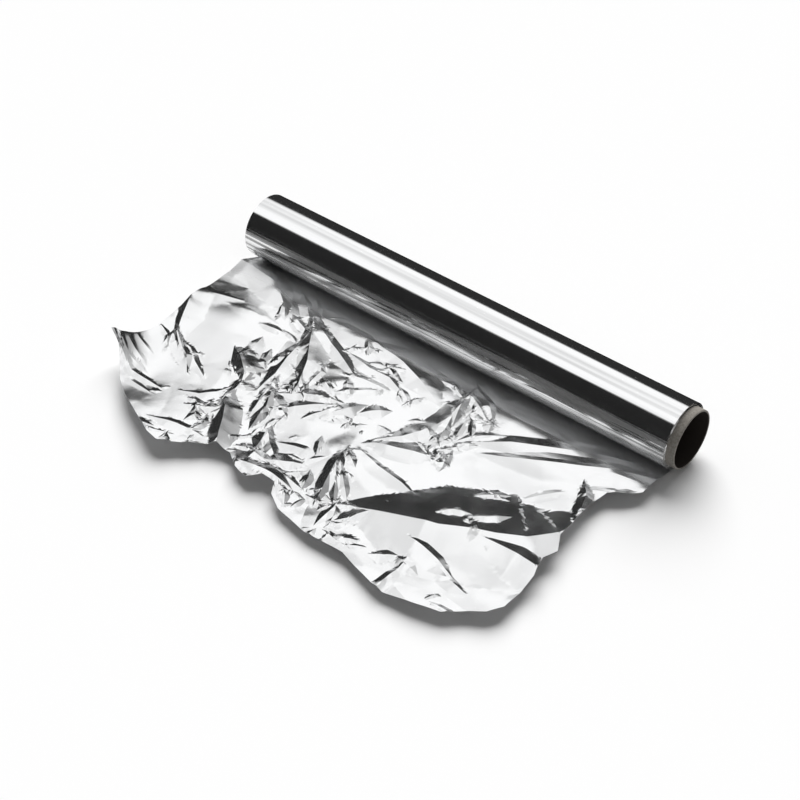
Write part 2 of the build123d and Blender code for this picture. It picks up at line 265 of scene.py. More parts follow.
# Folds of the sheet. Each is a line of (x, y) points, how far its crest stands above the sheet, and how
# far its slope reaches to the left and to the right of the line's direction.
FOLDS = [
    # from under the roll on the left
    ([(-168, -22), (-150, -24), (-118, -28), (-100, -41), (-92, -50)], 2.6, 9.0, 15.0),
    ([(-104, -20), (-88, -34), (-73, -48)], 1.6, 3.4, 5.0),
    ([(-95, -18), (-82, -32), (-70, -44)], 1.2, 2.6, 4.0),
    ([(-87, -30), (-74, -45), (-64, -60), (-55, -72), (-47, -89), (-45, -97)], 4.2, 12.0, 6.6),
    ([(-93, -42), (-84, -46), (-73, -50)], 1.3, 3.6, 4.0),
    ([(-92, -46), (-84, -50), (-76, -54)], 0.6, 2.0, 2.5),
    ([(-84, -38), (-62, -47), (-48, -53), (-32, -61), (-24, -65)], 1.3, 4.8, 6.0),
    ([(-78, -33), (-54, -33), (-30, -32)], 1.6, 6.0, 12.0),
    ([(-44, -31), (-13, -37), (6, -44), (26, -52)], 3.0, 17.0, 9.0),
    # the wide panel on the left and its turned-up corner
    ([(-172, -70), (-150, -61), (-119, -52)], 0.6, 3.8, 12.0),
    ([(-131, -61), (-110, -57), (-90, -55)], 0.3, 4.5, 7.0),
    ([(-102, -63), (-94, -61), (-84, -58)], 0.8, 3.6, 4.0),
    ([(-164, -42), (-149, -67), (-146, -73), (-131, -100), (-120, -109)], 2.3, 12.0, 4.0),
    ([(-137, -95), (-120, -107), (-113, -110.5), (-101, -123)], 2.0, 3.2, 7.0),
    ([(-126, -101), (-116, -104), (-106, -111), (-91, -118)], 1.2, 3.0, 5.0),
    ([(-145, -100), (-134, -104.5), (-129, -110), (-127, -117)], 1.0, 2.4, 3.0),
    ([(-133, -95), (-131, -112)], 0.9, 4.0, 2.2),
    ([(-150, -116), (-142, -119), (-126, -122)], 0.3, 1.8, 3.0),
    ([(-152, -122), (-138, -127), (-122, -131)], 0.4, 2.4, 3.0),
    ([(-151, -126), (-136, -133), (-118, -135)], 0.35, 2.0, 3.0),
    ([(-148, -130), (-128, -140), (-103, -140)], 0.8, 2.8, 4.0),
    ([(-140, -136), (-122, -146), (-104, -147)], 0.25, 2.0, 3.0),
    ([(-97, -135), (-85, -130), (-79, -122), (-76, -113)], 0.9, 3.4, 4.0),
    ([(-94, -163), (-77, -157), (-63, -154), (-56, -154)], 1.0, 3.4, 5.0),
    # the crumpled band left of the middle
    ([(-71, -47), (-69.5, -62), (-67.5, -75), (-63.5, -90), (-63, -108)], 2.6, 8.0, 6.4),
    ([(-91, -70), (-88, -82), (-90, -92)], 1.0, 6.0, 4.6),
    ([(-81, -74), (-76, -86), (-71, -90)], 1.3, 3.0, 3.4),
    ([(-98, -87), (-86, -94), (-77, -101), (-73, -108)], 3.4, 13.0, 5.4),
    ([(-74, -98), (-72, -112), (-71.5, -126)], 1.9, 8.0, 5.6),
    ([(-76, -108), (-67, -110.5), (-57, -112)], 1.2, 6.0, 7.0),
    ([(-76, -110), (-70, -123), (-59, -138), (-51, -151), (-47, -168)], 4.0, 10.0, 6.8),
    ([(-62, -88), (-57, -106), (-51, -128)], 1.5, 4.0, 3.8),
    ([(-56, -99), (-48, -115), (-45, -133)], 2.6, 3.4, 6.2),
    ([(-62, -99), (-48, -107), (-34, -113)], 2.4, 5.6, 7.0),
    ([(-46, -114), (-31, -99), (-16, -86)], 1.5, 5.6, 5.0),
    ([(-55, -102), (-36, -92), (-15, -84)], 1.3, 5.0, 5.0),
    ([(-47, -123), (-43, -110)], 1.1, 3.6, 3.0),
    ([(-36, -110), (-36, -123)], 0.9, 3.0, 2.4),
    ([(-50, -65), (-44, -73), (-42, -91)], 1.1, 3.0, 2.6),
    ([(-80, -138), (-74, -144), (-76, -152)], 1.3, 3.0, 3.4),
    ([(-70, -138), (-66, -148), (-68, -158)], 1.2, 3.0, 3.0),
    # the middle
    ([(-48, -48), (-39, -49.5), (-26, -52), (-12, -51), (6, -58)], 0.9, 3.4, 6.0),
    ([(-32, -50), (-24, -45), (-12, -42)], 0.5, 2.5, 3.0),
    ([(-36, -67), (-22, -62), (-2, -59)], 0.4, 3.0, 3.0),
    ([(-28, -83), (-18, -72), (-9, -62)], 0.5, 2.4, 2.6),
    ([(-43, -75), (-31, -81), (-21, -86)], 0.8, 2.6, 3.0),
    ([(-28, -109), (-21, -97), (-16, -89)], 1.2, 4.4, 4.0),
    ([(-22, -105), (-12, -87), (-6, -76)], 2.1, 5.6, 6.0),
    ([(-7, -86), (-1, -79), (7, -71)], 1.2, 5.2, 5.0),
    ([(-37, -122), (-33, -130), (-32, -143)], 2.4, 3.4, 7.2),
    ([(-37, -126), (-27, -135), (-16, -142)], 1.8, 3.8, 4.0),
    ([(-36, -144), (-26, -146), (-15, -148)], 1.5, 5.0, 4.0),
    ([(-43, -148), (-30, -142)], 0.8, 3.2, 3.0),
    ([(-23, -148), (-12, -141), (-1, -133)], 1.9, 8.0, 5.0),
    ([(-24, -148.5), (-6, -148.5), (11, -149)], 0.9, 3.4, 12.0),
    ([(-33, -155), (-14, -153.5), (5, -153)], 1.5, 6.0, 3.0),
    ([(-28, -131), (-10, -126), (-3, -130), (5, -121)], 0.8, 3.2, 4.0),
    ([(-10, -112), (-6, -119), (-2, -126)], 1.3, 3.0, 2.6),
    ([(7, -108), (9, -117), (13, -130), (21, -155)], 2.6, 4.4, 5.6),
    ([(9, -111), (14, -116), (21, -120)], 1.4, 3.2, 3.0),
    ([(2, -135), (6, -141), (8, -150)], 1.6, 3.0, 4.0),
    ([(12, -122), (24, -133), (34, -142)], 1.5, 2.8, 3.4),
    ([(12, -125), (21, -137), (29, -148)], 1.5, 2.6, 3.0),
    ([(28, -140), (31, -150), (31, -166)], 1.2, 4.0, 4.0),
    # right of the middle, spreading from one point at the roll
    ([(26, -20), (33, -27), (45, -33), (58, -46)], 1.5, 3.6, 4.4),
    ([(29, -26), (36, -36), (53, -45)], 2.2, 6.6, 4.0),
    ([(30, -28), (34, -42), (40, -60)], 1.5, 3.0, 3.4),
    ([(30, -22), (35, -40), (35, -58), (32, -72), (25, -84), (11, -99)], 2.2, 6.0, 9.0),
    ([(36, -55), (40, -68), (41, -84)], 1.6, 3.4, 4.4),
    ([(42, -46), (45, -58), (48, -70)], 1.1, 2.6, 3.0),
    ([(43, -48), (50, -55), (55, -62)], 1.1, 2.2, 2.4),
    ([(49, -68), (54, -61), (70, -48)], 0.9, 3.8, 4.0),
    ([(44, -80), (51, -77), (58, -73)], 0.9, 3.6, 3.0),
    ([(46, -87), (52, -88), (59, -86)], 0.8, 3.0, 3.0),
    ([(10, -103), (16, -98), (28, -94), (40, -89), (51, -84)], 2.1, 9.0, 9.0),
    ([(10, -106), (29, -111), (47, -112.5), (62, -116)], 0.8, 2.9, 8.0),
    # the two long folds from the near end of the roll
    ([(44, -30), (66, -33), (84, -32), (104, -28)], 1.0, 8.0, 14.0),
    ([(52, -67), (64, -59.5), (74, -52), (94, -41), (112, -31), (138, -14)], 1.3, 7.0, 9.0),
    ([(62, -70), (78, -63.5), (94, -55.5), (114, -44), (138, -30), (166, -14)], 1.5, 8.5, 14.0),
    # the small turned corner on the right edge
    ([(122, -51), (131, -62), (138, -84)], 2.6, 4.5, 5.0),
    ([(122, -60), (138, -50), (156, -38)], 0.7, 4.4, 4.0),
    ([(103, -84), (112, -73), (122, -62)], 0.5, 2.8, 4.0),
    # the long front lobe and the valley behind it
    ([(28, -147), (52, -139), (68, -134.5), (85, -129.5), (100, -121), (112, -116), (126, -108), (136, -93),
      (141, -78), (144, -60)], 7.6, 36.0, 34.0),
    ([(77, -122), (84, -115), (93, -111)], 1.5, 2.6, 4.0),
    ([(92, -115), (101, -109), (110, -99)], 1.6, 3.0, 4.0),
    ([(90, -112), (97, -119)], 1.0, 2.6, 3.0),
    ([(100.5, -117), (104, -129)], 0.9, 2.8, 2.2),
    ([(106, -122), (124, -121), (175, -119)], 2.9, 7.0, 16.0),
    ([(75, -143.5), (99, -147.5), (112, -151)], 1.7, 3.8, 8.0),
    ([(98, -149), (108, -152), (124, -155)], 1.1, 2.6, 6.0),
    ([(66, -164), (72, -161), (80, -156)], 1.6, 4.0, 5.0),
    ([(78, -157), (85, -158), (96, -160)], 1.2, 3.6, 5.0),
    ([(86, -156), (84.5, -168), (83, -194)], 1.3, 5.0, 3.6),
    ([(36, -165), (46, -167), (57, -167)], 0.9, 3.0, 4.0),
    ([(37, -157), (43, -150), (48, -141)], 1.5, 6.4, 4.0),
    ([(30, -147), (36, -145), (41, -142)], 0.9, 3.4, 3.0),
]


# The camera, at the photograph's viewing angle
def make_camera():
    azimuth, elevation = math.radians(CAMERA_AZIMUTH), math.radians(CAMERA_ELEVATION)
    back = Vector((math.sin(azimuth) * math.cos(elevation), -math.cos(azimuth) * math.cos(elevation),
                   math.sin(elevation)))
    camera = bpy.data.objects.new("camera", bpy.data.cameras.new("camera"))
    bpy.context.scene.collection.objects.link(camera)
    camera.location = Vector(CAMERA_PLACE) * MM
    camera.rotation_mode = "QUATERNION"
    camera.rotation_quaternion = (-back).to_track_quat("-Z", "Y")
    camera.data.sensor_width = 36
    camera.data.lens = CAMERA_LENS
    camera.data.clip_start, camera.data.clip_end = 0.05, 50
    bpy.context.scene.camera = camera


# Materials
def new_material(name):
    """A material with one shader, as the material, its node tree and the shader."""
    material = bpy.data.materials.new(name)
    material.use_nodes = True
    tree = material.node_tree
    tree.nodes.clear()
    output = tree.nodes.new("ShaderNodeOutputMaterial")
    shader = tree.nodes.new("ShaderNodeBsdfPrincipled")
    tree.links.new(shader.outputs[0], output.inputs[0])
    return material, tree, shader


def add_node(tree, kind, values=(), **settings):
    """A node of the kind given, with its settings and with the values of its inputs."""
    node = tree.nodes.new(kind)
    for key, value in settings.items():
        setattr(node, key, value)
    for key, value in dict(values).items():
        node.inputs[key].default_value = value
    return node


def ramp(tree, value, start, end):
    """A value that rises evenly from 0 to 1, between two values of the one given."""
    node = add_node(tree, "ShaderNodeMapRange", {"From Min": start, "From Max": end})
    tree.links.new(value, node.inputs["Value"])
    return node.outputs[0]


def foil_material(name, roughness_low, roughness_high, wrinkle_height):
    """Bright foil with patches of different gloss and fine wrinkles."""
    material, tree, shader = new_material(name)
    link = tree.links.new
    shader.inputs["Base Color"].default_value = FOIL_COLOUR
    shader.inputs["Metallic"].default_value = 0.985
    place = add_node(tree, "ShaderNodeTexCoord")
    patches = add_node(tree, "ShaderNodeTexNoise", {"Scale": 60, "Detail": 3})
    link(place.outputs["Object"], patches.inputs["Vector"])
    spread = add_node(tree, "ShaderNodeMapRange", {"From Min": 0.3, "From Max": 0.7,
                                                   "To Min": roughness_low, "To Max": roughness_high})
    link(patches.outputs["Fac"], spread.inputs["Value"])
    link(spread.outputs[0], shader.inputs["Roughness"])
    wrinkles = add_node(tree, "ShaderNodeTexVoronoi", {"Scale": 520}, feature="F1")
    link(place.outputs["Object"], wrinkles.inputs["Vector"])
    bump = add_node(tree, "ShaderNodeBump", {"Strength": 1.0, "Distance": wrinkle_height})
    link(wrinkles.outputs["Distance"], bump.inputs["Height"])
    link(bump.outputs[0], shader.inputs["Normal"])
    return material


def shader_of(material):
    """The one shader of a material that new_material made."""
    return next(node for node in material.node_tree.nodes if node.type == "BSDF_PRINCIPLED")


def add_painted_reflection_streaks(material):
    """Fine grey lines along the lower part of the roll, where it mirrors the crumpled sheet: a painted
    reflection, with a rougher gloss on the lines.
    """
    tree = material.node_tree
    link = tree.links.new
    shader = shader_of(material)
    place = add_node(tree, "ShaderNodeTexCoord")
    stretch = add_node(tree, "ShaderNodeMapping")
    stretch.inputs["Scale"].default_value = (7, 620, 620)
    link(place.outputs["Object"], stretch.inputs["Vector"])
    lines = add_node(tree, "ShaderNodeTexNoise", {"Scale": 1.0, "Detail": 3})
    link(stretch.outputs[0], lines.inputs["Vector"])
    apart = add_node(tree, "ShaderNodeSeparateXYZ")
    link(place.outputs["Object"], apart.inputs[0])
    # painted reflection: grey streaks are painted on the lower part of the roll, where it mirrors the
    # crumpled sheet
    lower_down = ramp(tree, apart.outputs["Z"], *STREAK_REFLECTION_BELOW)
    dull = product(tree, smooth_step(tree, lines.outputs["Fac"], 0.4, 0.62), lower_down)
    colours = add_node(tree, "ShaderNodeMix", data_type="RGBA")
    link(dull, colours.inputs[0])
    colours.inputs[6].default_value = FOIL_COLOUR
    colours.inputs[7].default_value = STREAK_REFLECTION_COLOUR
    link(colours.outputs[2], shader.inputs["Base Color"])
    roughen(tree, shader, dull, STREAK_REFLECTION_ROUGHNESS)
    return material


def roughen(tree, shader, share, roughness):
    """Mixes the shader's roughness with a higher one, by the share given."""
    mixed = add_node(tree, "ShaderNodeMix", {3: roughness}, data_type="FLOAT")
    tree.links.new(share, mixed.inputs[0])
    tree.links.new(shader.inputs["Roughness"].links[0].from_socket, mixed.inputs[2])
    tree.links.new(mixed.outputs[0], shader.inputs["Roughness"])


def dull_near_roll(material):
    """Softer gloss on the strip of the sheet that comes out from under the roll."""
    tree = material.node_tree
    place = add_node(tree, "ShaderNodeTexCoord")
    apart = add_node(tree, "ShaderNodeSeparateXYZ")
    tree.links.new(place.outputs["Object"], apart.inputs[0])
    near_roll = ramp(tree, apart.outputs["Y"], *NEAR_ROLL)
    roughen(tree, shader_of(material), near_roll, NEAR_ROLL_ROUGHNESS)
    return material


def board_material():
    """Grey-brown board, with painted shade making the inside of the bore near black."""
    material, tree, shader = new_material("core_board")
    link = tree.links.new
    place = add_node(tree, "ShaderNodeTexCoord")
    fibres = add_node(tree, "ShaderNodeTexNoise", {"Scale": 900, "Detail": 4})
    link(place.outputs["Object"], fibres.inputs["Vector"])
    colours = add_node(tree, "ShaderNodeValToRGB")
    colours.color_ramp.elements[0].position = 0.3
    colours.color_ramp.elements[0].color = BOARD_DARK
    colours.color_ramp.elements[1].position = 0.7
    colours.color_ramp.elements[1].color = BOARD_LIGHT
    link(fibres.outputs["Fac"], colours.inputs["Fac"])
    around = add_node(tree, "ShaderNodeVectorMath", {1: (0, 1, 1)}, operation="MULTIPLY")
    link(place.outputs["Object"], around.inputs[0])
    radius = add_node(tree, "ShaderNodeVectorMath", operation="LENGTH")
    link(around.outputs[0], radius.inputs[0])
    # painted shade: the inside of the bore is coloured near black, where little light reaches
    away_from_bore = ramp(tree, radius.outputs["Value"], BORE_RADIUS + 0.1 * MM, BORE_RADIUS + 0.4 * MM)
    bore_shade = add_node(tree, "ShaderNodeMix", data_type="RGBA")
    link(away_from_bore, bore_shade.inputs[0])
    bore_shade.inputs[6].default_value = BORE_PAINTED_SHADE
    link(colours.outputs["Color"], bore_shade.inputs[7])
    link(bore_shade.outputs[2], shader.inputs["Base Color"])
    shader.inputs["Roughness"].default_value = 0.85
    bump = add_node(tree, "ShaderNodeBump", {"Strength": 0.5, "Distance": 0.0001})
    link(fibres.outputs["Fac"], bump.inputs["Height"])
    link(bump.outputs[0], shader.inputs["Normal"])
    return material


# The loose sheet
def edge_x(points, y):
    """Where the left or right edge of the sheet lies, at each y."""
    points = sorted((py, px) for px, py in points)
    return np.interp(y, [p[0] for p in points], [p[1] for p in points])


def front_y(x):
    """Where the front edge of the sheet lies, at each x."""
    return np.interp(x, [p[0] for p in FRONT_EDGE], [p[1] for p in FRONT_EDGE])


def share_of_sheet(places):
    """Places on the grid as shares of the sheet: across from its left edge, and down to its front edge."""
    x, y = places[:, 0], places[:, 1]
    left, right = edge_x(LEFT_EDGE, y), edge_x(RIGHT_EDGE, y)
    return np.stack([(x - left) / (right - left), (y + SHEET_START) / (front_y(x) + SHEET_START)], 1)


def fade_length(whole, left_reach, right_reach):
    """How far from either end a fold is at its full height, where its whole length is given."""
    return min(whole / 3, 3 * max(left_reach, right_reach))


def fold_rise(fold, x, y):
    """How far one fold lifts the sheet at each place: a tent along a line, fading out at both ends."""
    points, crest, left_reach, right_reach = fold
    lengths = [math.dist(a, b) for a, b in zip(points, points[1:])]
    whole = sum(lengths)
    fade = fade_length(whole, left_reach, right_reach)
    best = np.full(x.shape, 1e9)
    side = np.zeros(x.shape)
    travelled = np.zeros(x.shape)
    start = 0.0
    for (a, b), length in zip(zip(points, points[1:]), lengths):
        dx, dy = (b[0] - a[0]) / length, (b[1] - a[1]) / length
        forward = (x - a[0]) * dx + (y - a[1]) * dy
        sideways = (y - a[1]) * dx - (x - a[0]) * dy
        held = np.clip(forward, 0, length)
        distance = np.hypot(forward - held, sideways)
        nearer = distance < best
        best = np.where(nearer, distance, best)
        side = np.where(nearer, sideways, side)
        travelled = np.where(nearer, start + held, travelled)
        start += length
    fullness = np.minimum(1.0, np.minimum(travelled, whole - travelled) / fade)
    reach = np.where(side > 0, left_reach, right_reach)
    return crest * np.maximum(0.0, fullness - best / reach)


def crumple_share(places):
    """How crumpled each place is, from 1 in the crumpled bands to little in the calm panels."""
    share = np.ones(len(places))
    for centre_x, centre_y, spread_x, spread_y, left_over in CALM_PANELS:
        away = np.hypot((places[:, 0] - centre_x) / spread_x, (places[:, 1] - centre_y) / spread_y)
        outside = np.clip((away - CALM_WITHIN) / CALM_FADE, 0, 1)
        share = np.minimum(share, left_over + (1 - left_over) * outside)
    return share


def fold_share(x, y):
    """How far up one of the large folds each place lies, from 0 at its feet to 1 on its crest."""
    return np.max([fold_rise(fold, x, y) / fold[1] for fold in FOLDS], 0)


def small_folds():
    """Short bent creases strewn over the sheet, most of them where it is crumpled."""
    scatter = random.Random(5)
    folds = []
    while len(folds) < SMALL_FOLD_COUNT:
        x, y = scatter.uniform(*SMALL_FOLD_X), scatter.uniform(*SMALL_FOLD_Y)
        angle, length = scatter.uniform(0, math.pi), scatter.uniform(*SMALL_FOLD_LENGTH)
        bend, steepness = scatter.uniform(*SMALL_FOLD_BEND), scatter.uniform(*SMALL_FOLD_STEEPNESS)
        lean = scatter.uniform(0.3, 0.7)
        place = np.array([[x, y]])
        if scatter.random() > crumple_share(place)[0] - 0.1 or fold_share(*place.T)[0] > 0.2:
            continue
        half = (length / 2 * math.cos(angle), length / 2 * math.sin(angle))
        middle = (x - bend * half[1] / 2, y + bend * half[0] / 2)
        crest = steepness * length
        reach = crest * scatter.uniform(4, 8)
        line = [(x - half[0], y - half[1]), middle, (x + half[0], y + half[1])]
        folds.append((line, crest, reach * lean, reach * (1 - lean)))
    return folds


class Crumple:
    """A net of straight creases with a flat facet in each mesh, raised and lowered at its knots."""

    def __init__(self, facet, rise, seed):
        scatter = random.Random(seed)
        knots = []
        for _ in range(KNOT_TRIES):
            p = (scatter.uniform(*KNOT_X), scatter.uniform(*KNOT_Y))
            if all(math.dist(p, q) > facet for q in knots):
                knots.append(p)
        faces = geometry.delaunay_2d_cdt([Vector(p) for p in knots], [], [], 0, 1e-5)[2]
        knots = np.array(knots)
        rises = np.array([scatter.uniform(-rise, rise) for _ in knots]) * crumple_share(knots)
        rises *= 1 - CALMED_BY_FOLDS * np.minimum(1, 2 * fold_share(*knots.T))
        self.faces = np.array(faces)
        self.knots, self.rises = knots, rises

    def creases(self):
        """The creases of the net, as pairs of places."""
        lines = set()
        for a, b, c in self.faces.tolist():
            lines |= {tuple(sorted(pair)) for pair in ((a, b), (b, c), (c, a))}
        return [(tuple(self.knots[a]), tuple(self.knots[b])) for a, b in sorted(lines)]

    def height(self, x, y):
        """How far the net lifts or lowers the sheet at each place."""
        height = np.zeros(x.shape)
        for a, b, c in self.faces:
            (ax, ay), (bx, by), (cx, cy) = self.knots[a], self.knots[b], self.knots[c]
            whole = (bx - ax) * (cy - ay) - (cx - ax) * (by - ay)
            to_b = ((x - ax) * (cy - ay) - (cx - ax) * (y - ay)) / whole
            to_c = ((bx - ax) * (y - ay) - (x - ax) * (by - ay)) / whole
            within = (to_b >= 0) & (to_c >= 0) & (to_b + to_c <= 1)
            rise = (1 - to_b - to_c) * self.rises[a] + to_b * self.rises[b] + to_c * self.rises[c]
            height = np.where(within, rise, height)
        return height


def sheet_height(places, folds, crumples):
    """How high the sheet lies over the table at each place, in millimetres, held down under the roll."""
    x, y = places[:, 0], places[:, 1]
    height = np.full(x.shape, SHEET_LIFT)
    slope_length = np.interp(x, SLOPE_CHANGE, SLOPE_LENGTHS)
    risen = np.clip((-y - SLOPE_START) / slope_length, 0, 1)
    risen = risen * risen * (3 - 2 * risen)
    for swell_x, swell_y, rise, spread_x, spread_y in SWELLS:
        height += rise * np.exp(-((x - swell_x) / spread_x) ** 2 - ((y - swell_y) / spread_y) ** 2)
    for fold in folds:
        height += fold_rise(fold, x, y)
    for crumple in crumples:
        height += crumple.height(x, y)
    radius = ROLL_RADIUS / SQUARE
    under = radius - np.sqrt(np.maximum(radius ** 2 - np.minimum(-y, radius) ** 2, 0.0))
    room = np.where(-y < radius, UNDER_ROLL_SHARE * under, 1e3)
    return np.minimum(height * risen, room)


def along_line(points, spacing):
    """Places along a line of points, spaced evenly within each of its stretches."""
    places = []
    for a, b in zip(points, points[1:]):
        steps = max(1, round(math.dist(a, b) / spacing))
        for k in range(steps):
            places.append((a[0] + (b[0] - a[0]) * k / steps, a[1] + (b[1] - a[1]) * k / steps))
    return places + [tuple(points[-1])]


def sheet_net(folds, crumples):
    """Points of the sheet's facets, with more of them along the crests, feet and creases of the folds, then
    how many of them lie on the border, and the pairs of points that a crease joins."""
    roll_side = [(LEFT_EDGE[0][0], -SHEET_START), (RIGHT_EDGE[0][0], -SHEET_START)]
    border = along_line([roll_side[0]] + LEFT_EDGE[1:], POINT_SPACING)
    border += along_line(FRONT_EDGE, POINT_SPACING)[1:]
    border += along_line([roll_side[1]] + RIGHT_EDGE[1:], POINT_SPACING)[-2::-1]
    border += along_line(roll_side[::-1], FACET)[1:-1]
    points = [tuple(p) for p in border]
    cells = {}

    def remember(p):
        cells.setdefault((int(p[0] // CELL_SIZE), int(p[1] // CELL_SIZE)), []).append(p)

    def clear(p, gap):
        cx, cy = int(p[0] // CELL_SIZE), int(p[1] // CELL_SIZE)
        for ix in range(cx - 2, cx + 3):
            for iy in range(cy - 2, cy + 3):
                if any(math.dist(p, q) < gap for q in cells.get((ix, iy), ())):
                    return False
        return True

    def inside(p):
        u, v = share_of_sheet(np.array([p], float))[0]
        return (p[1] < -SHEET_START - EDGE_MARGIN and v < 1 - EDGE_MARGIN / GRID_DOWN
                and EDGE_MARGIN / GRID_ACROSS < u < 1 - EDGE_MARGIN / GRID_ACROSS)

    def add_crease(line, gap):
        before = None
        for p in along_line(line, POINT_SPACING):
            here = None
            if inside(p) and clear(p, gap):
                here = len(points)
                points.append(p)
                remember(p)
                if before is not None:
                    creases.append((before, here))
            before = here

    creases = []
    for p in points:
        remember(p)
    for line, crest, left_reach, right_reach in folds:
        add_crease(line, FOLD_GAP)
        whole = sum(math.dist(a, b) for a, b in zip(line, line[1:]))
        fade = fade_length(whole, left_reach, right_reach)
        travelled = 0.0
        for a, b in zip(line, line[1:]):
            length = math.dist(a, b)
            steps = max(1, round(length / POINT_SPACING))
            for k in range(steps + 1):
                far = travelled + length * k / steps
                fullness = min(1.0, far / fade, (whole - far) / fade)
                dx, dy = (b[0] - a[0]) / length, (b[1] - a[1]) / length
                px, py = a[0] + (b[0] - a[0]) * k / steps, a[1] + (b[1] - a[1]) * k / steps
                for offset in (left_reach * fullness, -right_reach * fullness):
                    foot = (px - dy * offset, py + dx * offset)
                    if abs(offset) < FARTHEST_FOOT and inside(foot) and clear(foot, FOLD_GAP):
                        points.append(foot)
                        remember(foot)
            travelled += length
    for crumple in crumples:
        for crease in crumple.creases():
            add_crease(crease, CREASE_GAP)
    scatter = random.Random(7)
    step = FACET / 2
    for row in range(int(SCATTER_DOWN * GRID_DOWN / step)):
        for column in range(int(SCATTER_ACROSS * GRID_ACROSS / step)):
            x = -SCATTER_LEFT * GRID_ACROSS + (column + scatter.random()) * step
            p = (x, -(row + scatter.random()) * step)
            if inside(p) and clear(p, LOOSE_GAP):
                points.append(p)
                remember(p)
    return points, len(border), creases


def side_of(a, b, c):
    """More than 0 where c lies to the left of the line from a to b, and less than 0 to the right of it."""
    along, over = b - a, c - a
    return along[..., 0] * over[..., 1] - along[..., 1] * over[..., 0]


def triangulated(points, border_count, creases):
    """Facets between the points, with an edge along every crease that crosses no crease before it."""
    edges = [(k, (k + 1) % border_count) for k in range(border_count)]
    flat = share_of_sheet(np.array(points)) * (GRID_ACROSS, GRID_DOWN)
    for crease in creases:
        a, b = flat[crease[0]], flat[crease[1]]
        starts, ends = flat[[edge[0] for edge in edges]], flat[[edge[1] for edge in edges]]
        parted = side_of(a, b, starts) * side_of(a, b, ends) < 0
        if not (parted & (side_of(starts, ends, a) * side_of(starts, ends, b) < 0)).any():
            edges.append(crease)
    made = geometry.delaunay_2d_cdt([Vector(p) for p in flat.tolist()], edges, [], 1, 1e-5)
    assert len(made[0]) == len(points), (len(made[0]), len(points))
    order = [origins[0] for origins in made[3]]
    return [[order[k] for k in face] for face in made[2]]


def split_in_four(places, faces):
    """Each facet becomes four, with a new point half way along each edge."""
    middles = {}
    places = list(places)

    def middle(a, b):
        key = (a, b) if a < b else (b, a)
        if key not in middles:
            middles[key] = len(places)
            places.append(((places[a][0] + places[b][0]) / 2, (places[a][1] + places[b][1]) / 2))
        return middles[key]

    finer = []
    for a, b, c in faces:
        ab, bc, ca = middle(a, b), middle(b, c), middle(c, a)
        finer += [(a, ab, ca), (ab, b, bc), (ca, bc, c), (ab, bc, ca)]
    return places, finer


def make_foil_piece(name, places, faces, crease_angle, material):
    """A piece of the foil, shown in place of its plain solid."""
    mesh = bpy.data.meshes.new(name)
    mesh.from_pydata(places.tolist(), [], faces)
    mesh.shade_smooth()
    mesh.set_sharp_from_angle(angle=math.radians(crease_angle))
    piece = bpy.data.objects.new(name, mesh)
    bpy.context.scene.collection.objects.link(piece)
    piece.data.materials.append(material)
    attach(piece, "root")
    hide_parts("foil")
    return piece


def make_loose_sheet():
    """The crumpled length in front of the roll: a thin closed shell over its net of facets."""
    folds = FOLDS + small_folds()
    crumples = [Crumple(*net) for net in CRUMPLE_NETS]
    points, border_count, creases = sheet_net(folds, crumples)
    faces = triangulated(points, border_count, creases)
    places, faces = split_in_four(points, faces)
    grid = np.array(places)
    top_height = np.maximum(sheet_height(grid, folds, crumples), 0.0)
    x = grid[:, 0] * SQUARE * SHEET_WIDTH_SHARE
    y = grid[:, 1] * SQUARE
    z = TABLE + SHEET_THICKNESS + top_height * MM
    top = np.stack([x, y, z], 1)
    bottom = top - (0, 0, SHEET_THICKNESS)
    count = len(top)
    solid_faces = []
    uses = {}
    for a, b, c in faces:
        if side_of(top[a], top[b], top[c]) < 0:
            b, c = c, b
        solid_faces += [(a, b, c), (a + count, c + count, b + count)]
        for pair in ((a, b), (b, c), (c, a)):
            uses.setdefault((min(pair), max(pair)), []).append(pair)
    for pairs in uses.values():
        if len(pairs) == 1:
            a, b = pairs[0]
            solid_faces.append((b, a, a + count, b + count))
    material = dull_near_roll(foil_material("sheet_foil", *SHEET_ROUGHNESS, SHEET_WRINKLES))
    shell = np.concatenate([top, bottom])
    piece = make_foil_piece("loose_sheet", shell, solid_faces, SHEET_CREASE_ANGLE, material)


